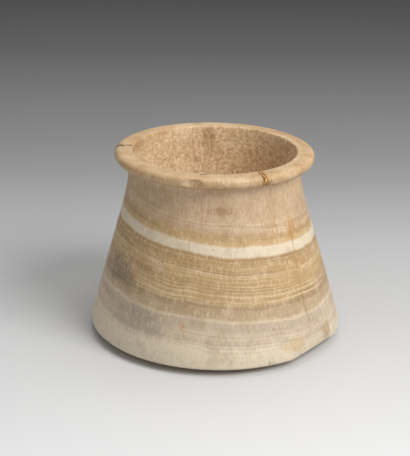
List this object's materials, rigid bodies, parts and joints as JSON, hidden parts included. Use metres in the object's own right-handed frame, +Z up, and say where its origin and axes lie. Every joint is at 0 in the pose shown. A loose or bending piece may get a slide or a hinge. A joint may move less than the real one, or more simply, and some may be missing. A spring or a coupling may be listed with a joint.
{
  "type": "calcite vase",
  "caption": "Squat banded-calcite vase with a flat everted lip and a body flaring to a wide base, with a re-set broken lip section.",
  "frame": {"origin": "centre of the flat face that the vase stands on", "axes": "+Z up along the vase's axis; -Y towards the viewer of the picture; the lip leans slightly towards -X"},
  "size_m": [0.1222, 0.1222, 0.09],
  "materials": {
    "calcite": "banded cream, tan and grey-beige calcite, worn waxy polish",
    "lip_calcite": "warm cream calcite, worn waxy polish",
    "resin": "aged amber-yellow resin"
  },
  "bodies": {
    "root": {"vase_body": "calcite", "lip_sherd": "lip_calcite", "resin_fill": "resin"}
  },
  "joints": []
}
